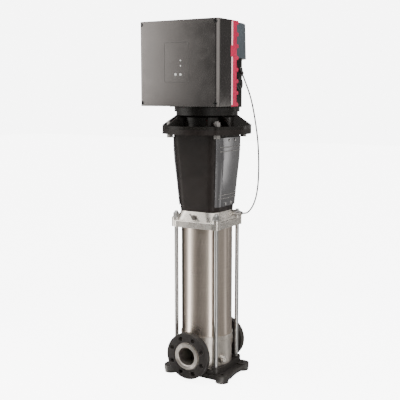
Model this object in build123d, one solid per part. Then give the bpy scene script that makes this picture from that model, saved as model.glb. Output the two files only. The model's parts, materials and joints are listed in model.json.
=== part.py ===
from build123d import *
import math
import os

# Vertical multistage pump. Millimetres. Z up, floor at 0, pump axis on Z.
# The ports point along Y, the drain plug, cable and one guard along +X.

# Fits
slip = 0.1
thread_fit = 0.05
turn_gap = 0.4
seat_gap = 0.3

# Base plate
foot_height = 12
plate_thickness = 14
plate_length = 298
plate_width = 223
plate_corner = 28
rim_height = 4
rim_width = 8
waist_radius = 260
waist_depth = 7
base_bolt_spacing_x = 240
base_bolt_spacing_y = 170
base_bolt_hole = 14
foot_radius = 26.5
platform_half = 107
platform_corner = 40
platform_wall = 8
platform_rise = 24
lug_radius = 17
lug_rise = 6

# Stay bolts
stay_x = 92
stay_y = 85
stay_diameter = 16
stay_foot = 20
nut_flats = 24
nut_height = 15
washer_radius = 15
washer_thickness = 3
stud_over_nut = 8

# Casing and ports
casing_height = 122
casing_radius = 102
band_height = 23
band_radius = 104.5
bead_height = 4
bead_proud = 1.5
casing_floor = 12
annulus_radius = 92
hub_radius = 60
eye_radius = 44
spigot_height = 8
port_axis_height = 105
port_reach = 160
port_bore = 72
port_mouth_chamfer = 2
port_bore_length = 60
passage_radius = 37.5
suction_tube_radius = 40.5
neck_radius = 46
port_ring_radius = 52.5
port_ring_length = 34
lock_groove_depth = 4
lock_groove_from_face = 5.4
lock_ring_thickness = 4
lock_ring_radius = 56
drain_y = -40
drain_height = 78
drain_boss_radius = 18
drain_boss_reach = 102
drain_thread = 20
drain_head_radius = 14
drain_head_length = 5
drain_socket_radius = 7
drain_socket_depth = 4

# Loose flanges
flange_diameter = 185
flange_thickness = 28
flange_set_back = 2
flange_circle = 145
flange_hole = 18
flange_hole_count = 8

# Sleeve and its seals
sleeve_radius = 102.3
sleeve_wall = 2
seal_height = 4
seal_depth = 3
seal_inset = 2.5

# Stages
stage_count = 6
stage_pitch = 70
head_over_stages = 18
chamber_radius = 85
chamber_wall = 3
chamber_floor = 4
wear_gap = 0.4
impeller_neck = 37.6
impeller_neck_wall = 4.5
impeller_radius = 68
shroud = 2.5
blade_height = 13
blade_thickness = 2.5
blade_count = 7
guide_radius = 74
guide_thickness = 3
guide_hub = 24
guide_vane_count = 8
guide_vane_clear = 3
impeller_hub_radius = 17
impeller_hub_over = 14

# Head
head_half = 106
head_corner = 27
head_thickness = 28
head_rise = 36
head_low_half = 100
head_low_corner = 45
head_high_half = 88
head_high_corner = 48
head_cavity_radius = 90
head_cavity_depth = 16
head_rib_count = 6
head_rib_width = 8
boss_radius = 18
boss_rise = 8
edge_round = 5

# Shaft and shaft seal
pump_shaft_radius = 11
pump_shaft_below = 20
seal_bore = 24
seal_seat_radius = 32
seal_seat_height = 12
seal_seat_depth = 32
rotary_radius = 21
rotary_length = 26

# Vent valve, square to the head's sloping front
vent_x = -1
vent_height = 41
vent_thread = 14
vent_depth = 14
vent_hex_radius = 11
vent_hex_height = 6
vent_neck_radius = 7
vent_neck_height = 3
vent_spindle_radius = 3
vent_hub_radius = 6
vent_hub_height = 7
vent_bar_radius = 2.6
vent_bar_length = 39
vent_bar_turn = -35

# Sensor in the head
sensor_y = 45
sensor_height = 52
sensor_boss_radius = 11.5
sensor_boss_inset = 24
sensor_thread = 12
sensor_thread_depth = 16
sensor_hex_radius = 11
sensor_hex_length = 7
sensor_barrel_radius = 9
sensor_barrel_length = 14
sensor_nut_radius = 7.5
sensor_nut_length = 8

# Motor stool
stool_height = 304
stool_low_half = 86
stool_low_corner = 36
stool_high_half = 108
stool_high_corner = 43
stool_wall = 9
stool_floor = 14
stool_seal_hole = 36
stool_flange_radius = 175
stool_flange_thickness = 19
stool_mouth_radius = 85
window_half_width = 58
window_from_floor = 46
window_from_flange = 30
stool_screw_half = 50
stool_screw_diameter = 12
stool_screw_grip = 16
stool_screw_head_radius = 9
stool_screw_head = 12

# Coupling
coupling_length = 110
coupling_radius = 34
coupling_ear_half = 38
coupling_ear_depth = 18
coupling_split = 0.5
coupling_above_head = 91
shaft_end_gap = 10
coupling_screw_diameter = 10
coupling_screw_x = 27.5
coupling_screw_from_end = 25
coupling_screw_head_radius = 8
coupling_screw_head = 8

# Coupling guards
guard_sheet = 1.5
guard_from_floor = 21
guard_from_flange = 13
guard_proud = ((0, 2.8), (0.35, 4.0), (0.68, 6.2), (0.86, 4.8), (1, 2.0))
guard_screw_y = 22
guard_screw_inset = 11
guard_screw_radius = 3
guard_screw_length = 10
guard_screw_head_radius = 6
guard_screw_head = 3

# Motor flange joint
motor_bolt_circle = 300
motor_bolt_diameter = 16
motor_bolt_hole = 18
motor_flange_thickness = 13
motor_lug_radius = 30

# Drive end shield
bell_radius = 105
bell_height = 40
bell_neck_radius = 122
bell_neck_height = 14
bell_ledge_radius = 129
bell_ledge_height = 17
bell_wall = 8
gusset_thickness = 8
gusset_angle = 15
gusset_foot_radius = 176

# Bearings
bearing_outer_radius = 50
bearing_bore_radius = 22.5
bearing_width = 25
bearing_race = 7
bearing_ball_count = 8
bearing_hub_wall = 10
bearing_web = 8
drive_bearing_below_ledge = 43
web_hole_gap = 1.5

# Motor
motor_length = 185
motor_radius = 110
motor_wall = 12
side_block_half = 139
side_block_front = -58
side_block_back = 30
side_block_wall = 5
fin_radius = 134
fin_thickness = 3
fin_count = 17
fin_spread = 140
stator_bore = 61
stator_from_end = 29
stator_below_bearing = 11
winding_inner = 64
winding_outer = 92
winding_reach = 18
air_gap = 1
motor_shaft_radius = 21
rotor_shaft_radius = 26
fan_shaft_radius = 14

# Fan and cowl
cowl_radius = 148
cowl_foot_radius = 152
cowl_height = 134
cowl_wall = 2
cowl_top = 3
cowl_fit = 0.8
grille_count = 28
grille_inner = 30
grille_outer = 96
grille_slot = 6
rear_shield_thickness = 12
fan_radius = 100
fan_above_shield = 22
fan_height = 36
fan_plate = 3
fan_hub_radius = 21
fan_blade = 3
fan_blade_count = 8

# Side entries of the motor
plug_y = 2
plug_below_top = 96
plug_radius = 25
plug_thickness = 10
plug_hub_radius = 9
plug_hub_length = 3
plug_thread = 40
gland_y = -8
gland_below_top = 41
gland_thread = 16
gland_radius = 9
gland_reach = 13
gland_drop = 20
gland_slope_x = 0.41
gland_slope_z = -0.9121
gland_nose_radius = 7

# Heat sink
sink_front = -116
sink_half = 170
sink_bottom_gap = 5
sink_height = 314
sink_plate = 24
sink_side_wall = 10
sink_side_back = -72
sink_fin_thickness = 14
sink_fin_round = 6
sink_fin_pitch = 43
sink_roof = 8
sink_fit = 0.5

# Control box
box_half = 172
box_bottom_gap = 5
box_height = 314
box_front = -214
cover_depth = 15
box_corner = 14
box_wall = 4
board_half = 140
board_margin = 18
board_thickness = 2
board_stand = 26
post_radius = 5
cover_screw_inset_x = 12
cover_screw_inset_z = 12
cover_screw_well = 7
cover_well_wall = 3
cover_screw_radius = 3
cover_screw_head_radius = 5.5
cover_screw_head = 6
cover_screw_length = 30
cover_screw_sunk = 9
panel_left = -58
panel_right = 48.5
panel_low = 89
panel_high = 233
panel_recess = 1
panel_film = 0.8
panel_corner = 4
button_radius = 4.6
button_height = 117
button_up_x = -9.5
button_down_x = 12
button_proud = 0.4
button_collar_radius = 6.6
button_collar = 1.6
lamp_radius = 3
lamp_proud = 0.15
lamp_x = 12
lamp_heights = (148, 168)

# Sensor cable: the gland, then the hand-laid route to the sensor
cable_radius = 3
cable_route = (
    (178.65, -8, 1165.72), (194.5, -1, 1116), (205, 5, 1060), (213, 11, 1000), (218, 16, 945),
    (219, 20.5, 890), (217, 26, 835), (212, 32, 785), (203.5, 36.5, 740), (191.5, 40, 707),
    (178, 42, 684), (163.5, 44, 668.5), (149.5, 45, 662),
)

# Heights worked out from the floor up
plate_bottom = foot_height
plate_top = plate_bottom + plate_thickness
rim_top = plate_top + rim_height
casing_bottom = plate_top + platform_rise
casing_top = casing_bottom + casing_height
spigot_top = casing_top + spigot_height
stage_top = casing_top + stage_count * stage_pitch
head_bottom = stage_top + head_over_stages
head_spigot_bottom = head_bottom - spigot_height
head_plate_top = head_bottom + head_thickness
head_top = head_plate_top + head_rise
head_boss_top = head_plate_top + boss_rise
stool_flange_bottom = head_top + stool_height
stool_top = stool_flange_bottom + stool_flange_thickness
stool_inner_floor = head_top + stool_floor
motor_flange_top = stool_top + motor_flange_thickness
bell_top = motor_flange_top + bell_height
ledge_bottom = bell_top + bell_neck_height
motor_bottom = ledge_bottom + bell_ledge_height
motor_top = motor_bottom + motor_length
cowl_top_height = motor_top + cowl_height
sleeve_inner = sleeve_radius - sleeve_wall
spigot_radius = sleeve_inner - slip
stay_radius = stay_diameter / 2
stay_places = [(x, y) for x in (-stay_x, stay_x) for y in (-stay_y, stay_y)]
foot_places = [
    (x, y)
    for x in (-base_bolt_spacing_x / 2, base_bolt_spacing_x / 2)
    for y in (-base_bolt_spacing_y / 2, base_bolt_spacing_y / 2)
]
motor_bolt_places = [
    (side_x * motor_bolt_circle / 2 * math.sqrt(0.5), side_y * motor_bolt_circle / 2 * math.sqrt(0.5))
    for side_x in (-1, 1)
    for side_y in (-1, 1)
]
coupling_bottom = head_top + coupling_above_head
coupling_middle = coupling_bottom + coupling_length / 2
pump_shaft_top = coupling_middle - shaft_end_gap / 2
motor_shaft_bottom = coupling_middle + shaft_end_gap / 2
drive_bearing_bottom = motor_bottom - drive_bearing_below_ledge
fan_bearing_bottom = motor_top - bearing_width
stator_bottom = motor_bottom + stator_from_end
stator_top = fan_bearing_bottom - stator_below_bearing
sink_bottom = motor_bottom + sink_bottom_gap
sink_top = sink_bottom + sink_height
sink_pocket = motor_radius + sink_fit
box_bottom = motor_bottom + box_bottom_gap
box_top = box_bottom + box_height
cover_back = box_front + cover_depth
vent_z = head_bottom + vent_height
sensor_z = head_bottom + sensor_height
gland_z = motor_top - gland_below_top
plug_z = motor_top - plug_below_top
cut = 1


# Basic shapes
def disc(radius, z_low, z_high, x=0, y=0):
    return Pos(x, y, z_low) * upright(radius, z_high - z_low)


def ring(outer, inner, z_low, z_high, x=0, y=0):
    return disc(outer, z_low, z_high, x, y) - disc(inner, z_low - cut, z_high + cut, x, y)


def rod_x(radius, x_low, x_high, y, z):
    return Pos(x_low, y, z) * Rot(0, 90, 0) * upright(radius, x_high - x_low)


def rod_y(radius, y_low, y_high, x, z):
    return Pos(x, y_low, z) * Rot(-90, 0, 0) * upright(radius, y_high - y_low)


def block(x_low, x_high, y_low, y_high, z_low, z_high):
    shape = Box(x_high - x_low, y_high - y_low, z_high - z_low, align=(Align.MIN, Align.MIN, Align.MIN))
    return Pos(x_low, y_low, z_low) * shape


def slab(half_x, half_y, corner, z_low, z_high):
    return extrude(Pos(0, 0, z_low) * RectangleRounded(2 * half_x, 2 * half_y, corner), z_high - z_low)


def upright(radius, height):
    return Cylinder(radius, height, align=(Align.CENTER, Align.CENTER, Align.MIN))


def cone(low_radius, high_radius, height):
    return Cone(low_radius, high_radius, height, align=(Align.CENTER, Align.CENTER, Align.MIN))


def turned(*profile):
    return revolve(Plane.XZ * make_face(Polyline(*profile, close=True)), Axis.Z)


def hexagon(flats, z_low, z_high, x=0, y=0):
    return extrude(Pos(x, y, z_low) * RegularPolygon(flats / math.sqrt(3), 6), z_high - z_low)


def around(count, shape, start=0):
    return [Rot(0, 0, start + 360 / count * index) * shape for index in range(count)]


def square_taper(sections):
    outlines = [Pos(0, 0, z) * RectangleRounded(2 * half, 2 * half, corner) for z, half, corner in sections]
    return loft(outlines, ruled=True)


# Base
def base_plate():
    plate = slab(plate_length / 2, plate_width / 2, plate_corner, plate_bottom, rim_top)
    tray = slab(
        plate_length / 2 - rim_width, plate_width / 2 - rim_width, plate_corner - rim_width,
        plate_top, rim_top + cut,
    )
    waist_x = plate_length / 2 - waist_depth + waist_radius
    for side in (-1, 1):
        plate -= disc(waist_radius, plate_bottom - cut, rim_top + cut, side * waist_x)
        tray -= disc(waist_radius + rim_width, plate_top - cut, rim_top + 2 * cut, side * waist_x)
    plate -= tray
    platform = slab(platform_half, platform_half, platform_corner, plate_bottom, casing_bottom)
    inner_half = platform_half - platform_wall
    hollow = slab(
        inner_half, inner_half, platform_corner - platform_wall,
        plate_bottom - cut, casing_bottom - platform_wall,
    )
    body = plate + platform - hollow
    for x, y in stay_places:
        body += disc(lug_radius, plate_bottom, casing_bottom + lug_rise, x, y)
    for x, y in foot_places:
        body += disc(foot_radius, 0, rim_top, x, y)
    for x, y in stay_places:
        hole = stay_radius + thread_fit
        body -= disc(hole, casing_bottom - stay_foot, casing_bottom + lug_rise + cut, x, y)
    for x, y in foot_places:
        body -= disc(base_bolt_hole / 2, -cut, rim_top + cut, x, y)
    return body


def stay_bolts():
    top = head_boss_top + washer_thickness + nut_height + stud_over_nut
    return [disc(stay_radius, casing_bottom - stay_foot, top, x, y) for x, y in stay_places]


def stay_bolt_nuts():
    pieces = []
    nut_bottom = head_boss_top + washer_thickness
    for x, y in stay_places:
        pieces.append(ring(washer_radius, stay_radius + slip, head_boss_top, nut_bottom, x, y))
        hole = disc(stay_radius + thread_fit, nut_bottom - cut, nut_bottom + nut_height + cut, x, y)
        pieces.append(hexagon(nut_flats, nut_bottom, nut_bottom + nut_height, x, y) - hole)
    return pieces


# Casing with its ports
def lock_groove_y():
    return port_reach - lock_groove_from_face - lock_ring_thickness


def port_neck(side):
    ring_start = port_reach - port_ring_length
    neck = rod_y(neck_radius, 0, ring_start, 0, port_axis_height)
    neck += rod_y(port_ring_radius, ring_start, port_reach, 0, port_axis_height)
    groove_low = lock_groove_y() - slip
    groove_high = lock_groove_y() + lock_ring_thickness + slip
    groove = rod_y(port_ring_radius + cut, groove_low, groove_high, 0, port_axis_height)
    groove -= rod_y(port_ring_radius - lock_groove_depth, groove_low, groove_high, 0, port_axis_height)
    neck -= groove
    return neck if side > 0 else Rot(0, 0, 180) * neck


def pump_casing():
    band_bottom = casing_top - band_height
    body = turned(
        (0, casing_bottom), (casing_radius, casing_bottom), (casing_radius, band_bottom),
        (band_radius, band_bottom), (band_radius, casing_top), (spigot_radius, casing_top),
        (spigot_radius, spigot_top), (0, spigot_top),
    )
    for bead_low in (band_bottom, casing_top - bead_height):
        body += disc(band_radius + bead_proud, bead_low, bead_low + bead_height)
    body += [port_neck(-1), port_neck(1)]
    boss_start = annulus_radius - drain_boss_radius
    body += rod_x(drain_boss_radius, boss_start, drain_boss_reach, drain_y, drain_height)
    cavity_floor = casing_bottom + casing_floor
    body -= disc(annulus_radius, casing_top, spigot_top + cut)
    body -= ring(annulus_radius, hub_radius, cavity_floor, casing_top + cut)
    body += rod_y(suction_tube_radius, -annulus_radius - cut, 0, 0, port_axis_height)
    body -= disc(eye_radius, cavity_floor, casing_top + cut)
    bore = port_bore / 2
    bore_end = port_reach - port_bore_length
    body -= rod_y(bore, -port_reach - cut, -bore_end, 0, port_axis_height)
    body -= rod_y(bore, bore_end, port_reach + cut, 0, port_axis_height)
    mouth = cone(bore, bore + port_mouth_chamfer, port_mouth_chamfer)
    for side in (-1, 1):
        mouth_floor = Pos(0, side * (port_reach - port_mouth_chamfer), port_axis_height)
        body -= mouth_floor * Rot(-90 * side, 0, 0) * mouth
    body -= rod_y(passage_radius, -bore_end, 0, 0, port_axis_height)
    body -= rod_y(passage_radius, (hub_radius + annulus_radius) / 2, bore_end, 0, port_axis_height)
    body -= rod_x(drain_thread / 2, hub_radius + cut, drain_boss_reach + cut, drain_y, drain_height)
    body -= seal_ring(casing_top + seal_inset, cut)
    return body


def drain_plug():
    thread_start = annulus_radius + cut
    plug = rod_x(drain_thread / 2 - thread_fit, thread_start, drain_boss_reach, drain_y, drain_height)
    head_face = drain_boss_reach + drain_head_length
    plug += rod_x(drain_head_radius, drain_boss_reach, head_face, drain_y, drain_height)
    socket = extrude(RegularPolygon(drain_socket_radius, 6), drain_socket_depth + cut)
    return plug - Pos(head_face - drain_socket_depth, drain_y, drain_height) * Rot(0, 90, 0) * socket


def loose_flange(side):
    front = port_reach - flange_set_back
    back = front - flange_thickness
    body = rod_y(flange_diameter / 2, back, front, 0, port_axis_height)
    rim = body.edges().filter_by(GeomType.CIRCLE)
    body = chamfer(rim, 1.5)
    body -= rod_y(port_ring_radius + turn_gap, back - cut, front + cut, 0, port_axis_height)
    counterbore = lock_ring_radius + turn_gap
    body -= rod_y(counterbore, lock_groove_y() - turn_gap, front + cut, 0, port_axis_height)
    for index in range(flange_hole_count):
        turn = math.radians(360 / flange_hole_count * (index + 0.5))
        x = flange_circle / 2 * math.cos(turn)
        z = port_axis_height + flange_circle / 2 * math.sin(turn)
        body -= rod_y(flange_hole / 2, back - cut, front + cut, x, z)
    return body if side > 0 else Rot(0, 0, 180) * body


def port_lock_rings():
    low = lock_groove_y()
    high = low + lock_ring_thickness
    piece = rod_y(lock_ring_radius, low, high, 0, port_axis_height)
    inner = port_ring_radius - lock_groove_depth + thread_fit
    piece -= rod_y(inner, low - cut, high + cut, 0, port_axis_height)
    return [piece, Rot(0, 0, 180) * piece]


# Sleeve
def seal_ring(z_low, extra=0):
    return ring(sleeve_inner + extra, spigot_radius - seal_depth, z_low, z_low + seal_height)


def outer_sleeve():
    return ring(sleeve_radius, sleeve_inner, casing_top, head_bottom)


def sleeve_seals():
    return [seal_ring(casing_top + seal_inset), seal_ring(head_bottom - seal_inset - seal_height)]


# Stages
def chamber(index):
    low = casing_top + index * stage_pitch
    high = low + stage_pitch
    inner = chamber_radius - chamber_wall
    bowl = ring(chamber_radius, inner, low, high)
    bowl += ring(inner + cut, impeller_neck + wear_gap, low, low + chamber_floor)
    guide_low = low + impeller_top_offset() + guide_thickness
    guide = ring(guide_radius, guide_hub, guide_low, guide_low + guide_thickness)
    vane = block(
        impeller_neck + guide_vane_clear, inner - slip, -blade_thickness / 2, blade_thickness / 2,
        guide_low + guide_thickness - cut, high,
    )
    for piece in around(guide_vane_count, vane):
        guide += piece
    guide = guide & disc(inner - slip, low, high)
    return [bowl, guide]


def impeller_top_offset():
    return chamber_floor + guide_thickness + 2 * shroud + blade_height


def impeller(index):
    floor_top = casing_top + index * stage_pitch + chamber_floor
    low = floor_top + guide_thickness
    upper = low + shroud + blade_height
    neck_bottom = floor_top - chamber_floor - shroud
    wheel = ring(impeller_neck, impeller_neck - impeller_neck_wall, neck_bottom, low + shroud)
    wheel += ring(impeller_radius, impeller_neck - impeller_neck_wall, low, low + shroud)
    wheel += disc(impeller_radius, upper, upper + shroud)
    hub_top = upper + shroud + impeller_hub_over
    wheel += disc(impeller_hub_radius, low, hub_top)
    reach = impeller_radius - impeller_neck + impeller_neck_wall
    blade = block(0, reach, -blade_thickness / 2, blade_thickness / 2, low + shroud - cut, upper + cut)
    blade = Pos(impeller_neck - impeller_neck_wall, 0, 0) * Rot(0, 0, 25) * blade
    for piece in around(blade_count, blade):
        wheel += piece & disc(impeller_radius, low, upper + shroud)
    return wheel - disc(pump_shaft_radius + thread_fit, neck_bottom - cut, hub_top + cut)


# Head
def slope_half(z):
    share = (z - head_plate_top) / head_rise
    return head_low_half + share * (head_high_half - head_low_half)


def vent_plane():
    run = head_low_half - head_high_half
    outward = Vector(0, -head_rise, run).normalized()
    return Plane(origin=(vent_x, -slope_half(vent_z), vent_z), x_dir=(1, 0, 0), z_dir=outward)


def on_vent(shape, low):
    return vent_plane() * Pos(0, 0, low) * shape


def pump_head():
    plate = slab(head_half, head_half, head_corner, head_bottom, head_plate_top)
    plate = fillet(plate.faces().sort_by(Axis.Z)[-1].edges(), edge_round)
    slopes = square_taper([
        (head_plate_top - cut, head_low_half, head_low_corner),
        (head_top, head_high_half, head_high_corner),
    ])
    body = plate + slopes + disc(spigot_radius, head_spigot_bottom, head_bottom)
    for x, y in stay_places:
        body += disc(boss_radius, head_bottom, head_boss_top, x, y)
        body -= disc(washer_radius + 1.5, head_boss_top, head_top + cut, x, y)
    boss_face = head_half
    body += rod_x(sensor_boss_radius, boss_face - sensor_boss_inset, boss_face, sensor_y, sensor_z)
    cavity_top = head_bottom + head_cavity_depth
    body -= disc(head_cavity_radius, head_spigot_bottom - cut, cavity_top)
    rib = block(
        seal_bore, chamber_radius, -head_rib_width / 2, head_rib_width / 2,
        stage_top, cavity_top + cut,
    )
    for piece in around(head_rib_count, rib):
        body += piece
    body -= disc(seal_bore, stage_top - cut, head_top + cut)
    body -= disc(seal_seat_radius, head_top - seal_seat_depth, head_top + cut)
    for x, y in stay_places:
        body -= disc(stay_radius + slip, head_bottom - cut, head_boss_top + cut, x, y)
    for x, y in stool_screw_places():
        body -= disc(stool_screw_diameter / 2, head_top - stool_screw_grip - cut, head_top + cut, x, y)
    thread_start = boss_face - sensor_thread_depth - cut
    body -= rod_x(sensor_thread / 2, thread_start, boss_face + cut, sensor_y, sensor_z)
    body -= on_vent(upright(vent_thread / 2, vent_depth + cut + vent_neck_height), -vent_depth - cut)
    body -= on_vent(upright(vent_hex_radius + 1, vent_hex_height), 0)
    body -= seal_ring(head_bottom - seal_inset - seal_height, cut)
    return body


# Shaft and its seal
def pump_shaft():
    return disc(pump_shaft_radius, casing_top - pump_shaft_below, pump_shaft_top)


def seal_shoulder():
    return head_top - seal_seat_depth


def shaft_seal_seat():
    low = seal_shoulder()
    return ring(seal_seat_radius - thread_fit, pump_shaft_radius + turn_gap, low, low + seal_seat_height)


def shaft_seal_rotary():
    high = seal_shoulder() - seat_gap
    return ring(rotary_radius, pump_shaft_radius + thread_fit, high - rotary_length, high)


# Vent valve
def vent_body():
    body = on_vent(upright(vent_thread / 2 - thread_fit, vent_depth), -vent_depth)
    body += on_vent(extrude(RegularPolygon(vent_hex_radius, 6), vent_hex_height), 0)
    body += on_vent(upright(vent_neck_radius, vent_neck_height), vent_hex_height)
    whole = vent_depth + vent_hex_height + vent_neck_height
    body -= on_vent(upright(vent_spindle_radius + slip, whole + 2 * cut), -vent_depth - cut)
    return body


def vent_spindle():
    length = vent_depth + vent_hex_height + vent_neck_height + vent_hub_height
    return on_vent(upright(vent_spindle_radius, length), -vent_depth + cut)


def vent_lever():
    low = vent_hex_height + vent_neck_height + turn_gap
    hub = on_vent(upright(vent_hub_radius, vent_hub_height), low)
    bar = Cylinder(vent_bar_radius, vent_bar_length)
    hub += on_vent(Rot(0, 0, vent_bar_turn) * Rot(0, 90, 0) * bar, low + vent_hub_height / 2)
    hub -= on_vent(upright(vent_spindle_radius + slip, vent_hub_height + 2 * cut), low - cut)
    return hub


# Sensor
def sensor_body():
    face = head_half
    body = rod_x(sensor_thread / 2 - thread_fit, face - sensor_thread_depth, face, sensor_y, sensor_z)
    hex_head = extrude(RegularPolygon(sensor_hex_radius, 6), sensor_hex_length)
    body += Pos(face, sensor_y, sensor_z) * Rot(0, 90, 0) * hex_head
    start = face + sensor_hex_length
    body += rod_x(sensor_barrel_radius, start, start + sensor_barrel_length, sensor_y, sensor_z)
    start += sensor_barrel_length
    body += rod_x(sensor_nut_radius, start, start + sensor_nut_length, sensor_y, sensor_z)
    return body


def sensor_cable_end():
    reach = sensor_hex_length + sensor_barrel_length + sensor_nut_length
    return (head_half + reach, sensor_y, sensor_z)


def gland_exit():
    return (
        side_block_half + gland_reach + gland_drop * gland_slope_x,
        gland_y,
        gland_z + gland_drop * gland_slope_z,
    )


def cable_line():
    points = [Vector(*point) for point in (gland_exit(), *cable_route, sensor_cable_end())]
    radii = []
    for before, here, after in zip(points, points[1:], points[2:]):
        turn = math.radians((here - before).get_angle(after - here))
        shorter = min((here - before).length, (after - here).length)
        radii.append(0.45 * shorter / math.tan(turn / 2))
    print("cable radii, mm:", [round(radius, 1) for radius in radii])
    return FilletPolyline(*points, radius=radii)


def sensor_cable():
    line = cable_line()
    section = Plane(origin=line @ 0, z_dir=line % 0) * Circle(cable_radius)
    tube = sweep(section, path=line)
    print("cable length, mm:", round(line.length, 1))
    share = tube.volume / (section.area * line.length)
    print("cable volume against section times length:", round(share, 5))
    return tube


# Stool
def stool_half(z):
    share = (z - head_top) / stool_height
    return stool_low_half + share * (stool_high_half - stool_low_half)


def stool_corner(z):
    share = (z - head_top) / stool_height
    return stool_low_corner + share * (stool_high_corner - stool_low_corner)


def stool_form(inset, low, high):
    return square_taper([(z, stool_half(z) - inset, stool_corner(z) - inset) for z in (low, high)])


def stool_screw_places():
    ends = (-stool_screw_half, stool_screw_half)
    return [(x, y) for x in ends for y in ends]


def motor_stool():
    body = stool_form(0, head_top, stool_flange_bottom)
    body -= stool_form(stool_wall, stool_inner_floor, stool_flange_bottom + cut)
    body += disc(stool_flange_radius, stool_flange_bottom, stool_top)
    for x, y in motor_bolt_places:
        body += disc(motor_lug_radius, stool_flange_bottom, stool_top, x, y)
    body -= disc(stool_mouth_radius, stool_flange_bottom - cut, stool_top + cut)
    body -= disc(stool_seal_hole, head_top - cut, stool_inner_floor + cut)
    body -= block(
        -2 * stool_high_half, 2 * stool_high_half, -window_half_width, window_half_width,
        head_top + window_from_floor, stool_flange_bottom - window_from_flange,
    )
    for x, y in stool_screw_places():
        body -= disc(stool_screw_diameter / 2 + slip, head_top - cut, stool_inner_floor + cut, x, y)
    for x, y in motor_bolt_places:
        body -= disc(motor_bolt_hole / 2, stool_flange_bottom - cut, stool_top + cut, x, y)
    for side in (-1, 1):
        for y, z in guard_screw_places():
            start = stool_half(z) - guard_screw_length
            body -= rod_x_side(guard_screw_radius, start - cut, stool_half(z) + 2 * stool_wall, y, z, side)
    return body


def stool_screws():
    pieces = []
    for x, y in stool_screw_places():
        shank = stool_screw_diameter / 2 - thread_fit
        head_high = stool_inner_floor + stool_screw_head
        screw = disc(shank, head_top - stool_screw_grip, stool_inner_floor, x, y)
        screw += disc(stool_screw_head_radius, stool_inner_floor, head_high, x, y)
        pieces.append(screw)
    return pieces


# Coupling guards
def rod_x_side(radius, x_low, x_high, y, z, side):
    rod = rod_x(radius, x_low, x_high, y, z)
    return rod if side > 0 else Rot(0, 0, 180) * rod


def guard_low():
    return head_top + guard_from_floor


def guard_high():
    return stool_flange_bottom - guard_from_flange


def guard_offset(z):
    share = (z - guard_low()) / (guard_high() - guard_low())
    for (low, low_offset), (high, high_offset) in zip(guard_proud, guard_proud[1:]):
        if share <= high:
            return low_offset + (share - low) / (high - low) * (high_offset - low_offset)
    return guard_proud[-1][1]


def guard_form(inset):
    span = guard_high() - guard_low()
    levels = [guard_low() + share * span for share, _ in guard_proud]
    sections = []
    for z in levels:
        grow = guard_offset(z) - inset
        sections.append((z, stool_half(z) + grow, stool_corner(z) + grow))
    return square_taper(sections)


def wedge(set_in, low, high):
    far = 2 * stool_high_half
    start = set_in * math.sqrt(2)
    outline = Polyline((start, 0), (far + start, far), (far + start, -far), close=True)
    return extrude(Pos(0, 0, low) * make_face(outline), high - low)


def guard_screw_places():
    heights = (guard_low() + guard_screw_inset, guard_high() - guard_screw_inset)
    return [(y, z) for y in (-guard_screw_y, guard_screw_y) for z in heights]


def guard(side):
    low = guard_low()
    high = guard_high()
    shell = guard_form(0) & wedge(0, low, high)
    hollow = guard_form(guard_sheet) & wedge(guard_sheet, low + guard_sheet, high - guard_sheet)
    shell = shell - hollow - stool_form(0, head_top, stool_flange_bottom)
    for y, z in guard_screw_places():
        outside = stool_half(z) + guard_offset(z)
        shell -= rod_x(guard_screw_radius + slip, outside - 4 * guard_sheet, outside + cut, y, z)
        shell -= rod_x(guard_screw_head_radius + slip, outside, outside + guard_screw_head, y, z)
    return shell if side > 0 else Rot(0, 0, 180) * shell


def guard_screws():
    pieces = []
    for side in (-1, 1):
        for y, z in guard_screw_places():
            outside = stool_half(z) + guard_offset(z)
            start = stool_half(z) - guard_screw_length
            screw = rod_x_side(guard_screw_radius - thread_fit, start, outside, y, z, side)
            screw += rod_x_side(guard_screw_head_radius, outside, outside + guard_screw_head, y, z, side)
            pieces.append(screw)
    return pieces


# Coupling
def coupling_screw_places():
    low = coupling_bottom + coupling_screw_from_end
    high = coupling_bottom + coupling_length - coupling_screw_from_end
    return [(x, z) for x in (-coupling_screw_x, coupling_screw_x) for z in (low, high)]


def coupling_halves():
    top = coupling_bottom + coupling_length
    half = disc(coupling_radius, coupling_bottom, top)
    half += block(-coupling_ear_half, coupling_ear_half, 0, coupling_ear_depth, coupling_bottom, top)
    far = 2 * coupling_ear_half
    half -= block(-far, far, -far, coupling_split, coupling_bottom - cut, top + cut)
    half -= disc(pump_shaft_radius + thread_fit, coupling_bottom - cut, coupling_middle)
    half -= disc(motor_shaft_radius + thread_fit, coupling_middle, top + cut)
    for x, z in coupling_screw_places():
        half -= rod_y(coupling_screw_diameter / 2 + slip, -cut, far, x, z)
        head_room = coupling_screw_head_radius + slip
        half -= rod_y(head_room, coupling_ear_depth, far, x, z)
    return [half, Rot(0, 0, 180) * half]


def coupling_screws():
    pieces = []
    seat = coupling_ear_depth
    for x, z in coupling_screw_places():
        screw = rod_y(coupling_screw_diameter / 2, -seat + cut, seat, x, z)
        screw += rod_y(coupling_screw_head_radius, seat, seat + coupling_screw_head, x, z)
        pieces.append(screw)
    return pieces


# Motor
def motor_flange_bolts():
    pieces = []
    for x, y in motor_bolt_places:
        bolt = hexagon(nut_flats, stool_flange_bottom - nut_height, stool_flange_bottom, x, y)
        nut_top = motor_flange_top + nut_height
        bolt += disc(motor_bolt_diameter / 2, stool_flange_bottom, nut_top + nut_height / 3, x, y)
        hole = disc(motor_bolt_diameter / 2 + thread_fit, motor_flange_top - cut, nut_top + cut, x, y)
        pieces.append(bolt)
        pieces.append(hexagon(nut_flats, motor_flange_top, nut_top, x, y) - hole)
    return pieces


def gusset(turn):
    outline = Polyline(
        (bell_radius - bell_wall / 2, motor_flange_top - cut), (gusset_foot_radius, motor_flange_top - cut),
        (gusset_foot_radius, motor_flange_top + 2 * cut), (bell_neck_radius, bell_top),
        (bell_radius - bell_wall / 2, bell_top), close=True,
    )
    plate = extrude(Plane.XZ * make_face(outline), gusset_thickness / 2, both=True)
    return Rot(0, 0, turn) * plate


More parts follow.
